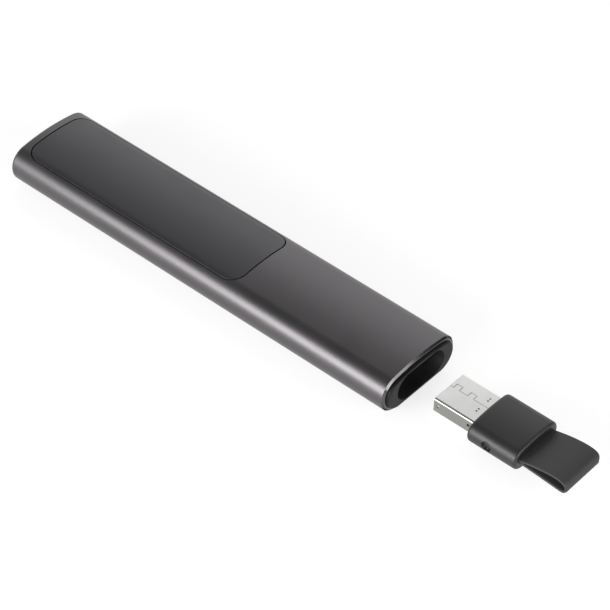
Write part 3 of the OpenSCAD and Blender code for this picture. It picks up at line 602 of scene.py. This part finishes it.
def make_cover():
    """The panel, with three hooks on each side."""
    piece = add_mesh("cover_panel", *cover_mesh(), "handset", "satin_plastic", "back_cover")
    for share in HOOK_SHARES:
        for side in (-1, 1):
            for solid in cover_hook(COVER_X0 + share * COVER_L, side):
                add_island(piece.data, *solid)
    smooth_by_angle(piece.data)


make_cover()


# ---------- the end cap ----------

def in_bay(face):
    """Whether a face of the cap lines the bay."""
    middle = face.center / MM
    inward = face.normal.y * middle.y + face.normal.z * (middle.z - Z_MID) < 0
    return inward and abs(face.normal.x) < 0.1


def make_cap():
    """A ring between the shell and the bay's mouth, with both of its edges rounded."""
    counts = dict(n_side=48, n_flat=24)
    gap = WALL + CAP_GAP
    r_bay, flat_bay = BAY_T / 2, (BAY_W - BAY_T) / 2
    x_in = X_RIM - CAP_DEPTH

    def bay_ring(x, out):
        """A ring round the bay, widened by out."""
        return [(x, y, Z_MID + z) for y, z in stadium(flat_bay, r_bay + out, **counts)]

    rings = [HANDSET.ring(x_in, gap, **counts)]
    for back, out in arc_steps(6):
        rings.append(HANDSET.ring(X_FACE - CAP_EDGE + CAP_EDGE * out, gap + CAP_EDGE * back, **counts))
    for back, out in reversed(arc_steps(5)):
        rings.append(bay_ring(X_FACE - MOUTH_EDGE + MOUTH_EDGE * out, MOUTH_EDGE * back))
    rings.append(bay_ring(x_in, 0))
    piece = add_mesh("cap_ring", *closed_loft(rings), "handset", "cap_plastic", "end_cap")
    # The bay's lining takes the lighter inner plastic: painted light in the mouth, where little light
    # falls.
    add_second_look(piece.data, "inner_plastic", in_bay)


make_cap()


# ---------- the receiver's plug ----------

PLUG_X0 = COLLAR_X0 - PLUG_L
PLUG_TOP = Z_MID + PLUG_H / 2


def groove_cutters():
    """Cutters for the groove along the folded sheet's seam."""
    half = SEAM_GROOVE / 2
    path = [(PLUG_X0 + x, SEAM_Y + y) for x, y in FOLD_SEAM]
    cutters = []
    for (xa, ya), (xb, yb) in zip(path, path[1:]):
        plan = box_plan(min(xa, xb) - half, max(xa, xb) + half, min(ya, yb) - half, max(ya, yb) + half)
        cutters.append(prism(plan, PLUG_TOP - SHEET_T / 2, PLUG_TOP + PLUG_PAST))
    return cutters


def hole_cutters():
    """Cutters for the stake holes on top, the notches at the sides and the latch holes below."""
    cutters = []
    for y in STAKE_Y:
        cutters.append(prism(round_plan(COLLAR_X0 - STAKE_IN, y, STAKE_R, 20), Z_MID, PLUG_TOP + PLUG_PAST))
    for side in (-1, 1):
        y = side * PLUG_W / 2
        for x in (PLUG_X0 + NOTCH_IN, COLLAR_X0 - NOTCH_IN):
            notch = box_plan(x - NOTCH_HALF, x + NOTCH_HALF, y - NOTCH_CUT, y + NOTCH_CUT)
            cutters.append(prism(notch, *NOTCH_Z))
        y = side * LATCH_Y
        latch = box_plan(PLUG_X0 + LATCH_X[0], PLUG_X0 + LATCH_X[1], y - LATCH_HALF, y + LATCH_HALF)
        cutters.append(prism(latch, -PLUG_PAST, Z_MID - 1))
    return cutters


def on_plug_side(face):
    """Whether a face of the plug stands at one of its two narrow sides."""
    return abs(face.center.y) / MM > PLUG_W / 2 - PLUG_CORNER / 4


def make_plug():
    """A folded steel sleeve with a jigsaw seam, stake holes, side notches and latch holes."""
    x0, x1 = PLUG_X0, COLLAR_X0 + PLUG_IN
    rings = []
    for x, d in ((x0, SHEET_EDGE), (x0 + SHEET_EDGE, 0), (x1, 0), (x1, SHEET_T), (x0 + SHEET_EDGE, SHEET_T),
                 (x0, SHEET_T - SHEET_EDGE)):
        corners = four_corners(PLUG_W / 2 - d, PLUG_H / 2 - d, PLUG_CORNER - d, 10)
        rings.append([(x, y, Z_MID + z) for y, z in corners])
    piece = add_mesh("plug_sleeve", *closed_loft(rings), "receiver", "plug_steel", "usb_plug_shell")
    cut(piece, groove_cutters() + hole_cutters())
    smooth_by_angle(piece.data)
    # The narrow sides get a darker copy of the steel: painted shade for the shadowed floor that they
    # reflect.
    add_second_look(piece.data, "plug_side_painted_shade", on_plug_side)
    flat = piece.modifiers.new("flat_faces", "WEIGHTED_NORMAL")
    flat.keep_sharp = True


make_plug()


# ---------- the receiver's rubber collar ----------

def collar_rings():
    """Rings over both rounded ends, closer together round the dimples."""
    edge = COLLAR_EDGE
    fine, coarse = 0.12, 0.6
    xs = []
    x = COLLAR_X0 + edge
    while x < COLLAR_X1 - edge - 1e-6:
        xs.append(x)
        x += fine if abs(x - DIMPLE_X) < DIMPLE_D else coarse
    steps = arc_steps(8)
    stations = [(COLLAR_X0, inset) for inset in (2.8, 2.1, 1.4)]
    stations += [(COLLAR_X0 + edge * (1 - out), edge * back) for back, out in reversed(steps)]
    stations += [(x, 0) for x in xs[1:]]
    stations += [(COLLAR_X1 - edge + edge * out, edge * back) for back, out in steps]
    stations += [(COLLAR_X1, inset) for inset in (1.4, 2.1, 2.8)]
    return [COLLAR.ring(x, inset, n_side=84, n_flat=24) for x, inset in stations]


def dimpled(point):
    """The point pressed in where it lies on a round side, in a dimple for the bay's detent spring."""
    x, y, z = point
    if abs(y) <= COLLAR.side_y:
        return point
    away = math.hypot(x - DIMPLE_X, z - Z_MID)
    t = max(0.0, min(1.0, (DIMPLE_D / 2 + DIMPLE_SOFT - away) / (2 * DIMPLE_SOFT)))
    push = DIMPLE_DEPTH * t * t * (3 - 2 * t)
    return x, y - math.copysign(push, y), z


def make_collar():
    """A rounded block with a dimple in each side."""
    rings = [[dimpled(point) for point in ring] for ring in collar_rings()]
    add_mesh("collar_body", *lofted(rings), "receiver", "collar_rubber", "receiver_collar")


make_collar()


# ---------- the pull strap ----------

def smooth_path(points, n):
    """Points evenly spread on a Catmull-Rom curve through the given ones."""
    steps = 24
    last = len(points) - 1
    dense = []
    for i in range(last):
        a, b, c, d = (Vector(points[max(0, min(last, i + k))]) for k in (-1, 0, 1, 2))
        for s in range(steps):
            t = s / steps
            dense.append(0.5 * (2 * b + (c - a) * t + (2 * a - 5 * b + 4 * c - d) * t * t
                                + (3 * b - a - 3 * c + d) * t ** 3))
    dense.append(Vector(points[-1]))
    length = [0.0]
    for a, b in zip(dense, dense[1:]):
        length.append(length[-1] + (b - a).length)
    path, k = [], 0
    for i in range(n + 1):
        want = length[-1] * i / n
        while k < len(dense) - 2 and length[k + 1] < want:
            k += 1
        share = (want - length[k]) / max(length[k + 1] - length[k], 1e-9)
        path.append(dense[k].lerp(dense[k + 1], share))
    return path


def strap_section(half_w, half_t):
    """Points (y, offset) across the band, with points along its two wide faces."""
    corners = four_corners(half_w, half_t, STRAP_EDGE, 4)

    def wide_face(s):
        """Points between the corners of the outer face, with s = 1, or of the inner one, with s = -1."""
        return [(s * (half_w - STRAP_EDGE) * (1 - k / 5), s * half_t) for k in range(1, 10)]

    return corners[:5] + wide_face(1) + corners[5:15] + wide_face(-1) + corners[15:]


def make_strap():
    """A looped band. The outer corners of the loop's end are rounded."""
    path = smooth_path(STRAP_LINE, 150)
    nose_x = max(p.x for p in path)
    half_w, half_t = STRAP_W / 2, STRAP_T / 2
    section = strap_section(half_w, half_t)
    rings = []
    for i, p in enumerate(path):
        ahead = path[min(i + 1, len(path) - 1)] - path[max(i - 1, 0)]
        ahead.normalize()
        past = min(max(p.x - (nose_x - STRAP_CORNER), 0), STRAP_CORNER)
        drawn_in = (STRAP_CORNER - math.sqrt(STRAP_CORNER ** 2 - past ** 2)) / half_w
        rings.append([(COLLAR_X1 + p.x - ahead.y * n, y * (1 - drawn_in * (0.5 + n / half_t / 2)),
                       Z_MID + p.y + ahead.x * n) for y, n in section])
    piece = add_mesh("strap_loop", *lofted(rings), None, "strap_rubber", "pull_strap")
    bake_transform(piece)


make_strap()


# ---------- studio: floor, room, lights and camera, in metres ----------

FLOOR_HALF, FLOOR_Z = 2.5, -5e-5
PAPER, GLOW, GLOW_SHARE = 0.82, 1.38, 0.55
ROOM_UP = (0, -0.352, 0.936)  # the direction in which the room darkens
ROOM_STOPS = ((0.0, 1.0), (0.30, 1.0), (0.446, 0.82), (0.543, 0.64), (0.632, 0.45), (0.75, 0.22),
              (1.0, 0.17))  # how far up, and how bright
ROOM_ALONG, ROOM_SHADE = (0.0, 0.35), (1.0, 0.15)  # the room darkens past the open end
LIGHTS_AIM = Vector((0.024, 0.0, 0.006))  # the point that all the softboxes face
VIEW_ANGLES = (39.479, 43.429, 2.254)  # azimuth, elevation and roll in degrees
VIEW_CENTRE, VIEW_DISTANCE = Vector((0.023753, 0.004378, 0)), 0.6502
SENSOR_MM, IMAGE_PX, FOCAL_PX = 36, 610, 2510.4


def seen_directly(nodes, links):
    """1 for camera, glossy and transmission rays, which all show the white background."""
    rays = nodes.new("ShaderNodeLightPath")
    level = rays.outputs["Is Camera Ray"]
    for kind in ("Is Glossy Ray", "Is Transmission Ray"):
        larger = linked_node(nodes, links, "ShaderNodeMath", [level, rays.outputs[kind]], "MAXIMUM")
        level = larger.outputs[0]
    return level


def either(nodes, links, share, first, second):
    """A mix of two shaders. The share of the second is a number or a socket."""
    mix = nodes.new("ShaderNodeMixShader")
    if isinstance(share, float):
        mix.inputs["Fac"].default_value = share
    else:
        links.new(share, mix.inputs["Fac"])
    links.new(first, mix.inputs[1])
    links.new(second, mix.inputs[2])
    return mix.outputs[0]


def floor_material():
    """White paper that takes shadows, seen white where it is lit, and clear from below."""
    look = bpy.data.materials.new("floor_paper")
    look.use_nodes = True
    nodes, links = look.node_tree.nodes, look.node_tree.links
    nodes.clear()
    paper = nodes.new("ShaderNodeBsdfDiffuse")
    paper.inputs["Color"].default_value = (PAPER, PAPER, PAPER, 1)
    glow = nodes.new("ShaderNodeEmission")
    glow.inputs["Color"].default_value = (1, 1, 1, 1)
    glow.inputs["Strength"].default_value = GLOW
    seen = either(nodes, links, GLOW_SHARE, paper.outputs[0], glow.outputs[0])
    above = either(nodes, links, seen_directly(nodes, links), paper.outputs[0], seen)
    below = nodes.new("ShaderNodeNewGeometry").outputs["Backfacing"]
    clear = nodes.new("ShaderNodeBsdfTransparent").outputs[0]
    out = nodes.new("ShaderNodeOutputMaterial")
    links.new(either(nodes, links, below, above, clear), out.inputs["Surface"])
    return look


def make_floor():
    """A wide sheet just below the object."""
    data = bpy.data.meshes.new("floor")
    corners = box_plan(-FLOOR_HALF, FLOOR_HALF, -FLOOR_HALF, FLOOR_HALF)
    data.from_pydata([(x, y, FLOOR_Z) for x, y in corners], [], [(0, 1, 2, 3)])
    data.materials.append(floor_material())
    floor = bpy.data.objects.new("floor", data)
    bpy.context.scene.collection.objects.link(floor)


def make_world():
    """A room that is white low down and behind, and dark overhead, in front and past the open end."""
    world = bpy.data.worlds.new("studio")
    bpy.context.scene.world = world
    world.use_nodes = True
    nodes, links = world.node_tree.nodes, world.node_tree.links
    nodes.clear()
    way = nodes.new("ShaderNodeTexCoord").outputs["Generated"]
    height = linked_node(nodes, links, "ShaderNodeVectorMath", [way], "DOT_PRODUCT")
    height.inputs[1].default_value = ROOM_UP
    ramp = nodes.new("ShaderNodeValToRGB")
    for k, (spot, level) in enumerate(ROOM_STOPS):
        stop = ramp.color_ramp.elements[k] if k < 2 else ramp.color_ramp.elements.new(spot)
        stop.position = spot
        stop.color = (level, level, level, 1)
    links.new(height.outputs["Value"], ramp.inputs["Fac"])
    along = linked_node(nodes, links, "ShaderNodeSeparateXYZ", [way]).outputs["X"]
    shade = mapped(nodes, links, along, ROOM_ALONG, ROOM_SHADE)
    tone = linked_node(nodes, links, "ShaderNodeVectorMath", [ramp.outputs["Color"]], "SCALE")
    links.new(shade, tone.inputs["Scale"])
    room = nodes.new("ShaderNodeBackground")
    links.new(tone.outputs["Vector"], room.inputs["Color"])
    out = nodes.new("ShaderNodeOutputWorld")
    links.new(room.outputs[0], out.inputs["Surface"])


def make_softbox(name, toward, distance, size, radiance, along=0.0):
    """A rectangular area light that faces the object, slid along its width."""
    away = Vector(toward).normalized()
    sideways = Vector((-away.y, away.x, 0)).normalized()
    data = bpy.data.lights.new(name, "AREA")
    data.shape = "RECTANGLE"
    data.size, data.size_y = size
    data.energy = radiance * math.pi * size[0] * size[1]
    lamp = bpy.data.objects.new(name, data)
    bpy.context.scene.collection.objects.link(lamp)
    lamp.location = LIGHTS_AIM + sideways * along + away * distance
    lamp.rotation_mode = "QUATERNION"
    lamp.rotation_quaternion = (-away).to_track_quat("-Z", "Y")


def make_camera():
    """The photograph's viewpoint."""
    a, e, roll = (math.radians(d) for d in VIEW_ANGLES)
    back = Vector((math.sin(a) * math.cos(e), -math.cos(a) * math.cos(e), math.sin(e)))
    level_right = Vector((math.cos(a), math.sin(a), 0))
    level_up = back.cross(level_right)
    right = math.cos(roll) * level_right + math.sin(roll) * level_up
    up = math.cos(roll) * level_up - math.sin(roll) * level_right
    data = bpy.data.cameras.new("camera")
    data.sensor_fit = "HORIZONTAL"
    data.sensor_width = SENSOR_MM
    data.lens = FOCAL_PX * SENSOR_MM / IMAGE_PX
    data.clip_start, data.clip_end = 0.01, 20
    camera = bpy.data.objects.new("camera", data)
    bpy.context.scene.collection.objects.link(camera)
    place = Matrix((right, up, back)).transposed().to_4x4()
    place.translation = VIEW_CENTRE + back * VIEW_DISTANCE
    camera.matrix_world = place
    bpy.context.scene.camera = camera


make_floor()
make_world()
make_softbox("key_softbox", (-0.46, -0.88, 0.21), 0.80, (0.90, 0.50), 8.6, along=0.36)
make_softbox("back_panel", (-0.40, 0.78, 0.48), 0.90, (0.9, 0.5), 0.45)
make_softbox("side_panel", (0.94, 0.0, 0.34), 0.75, (0.84, 0.30), 5.0, along=0.01)
make_camera()
bpy.context.scene.view_settings.view_transform = "Standard"
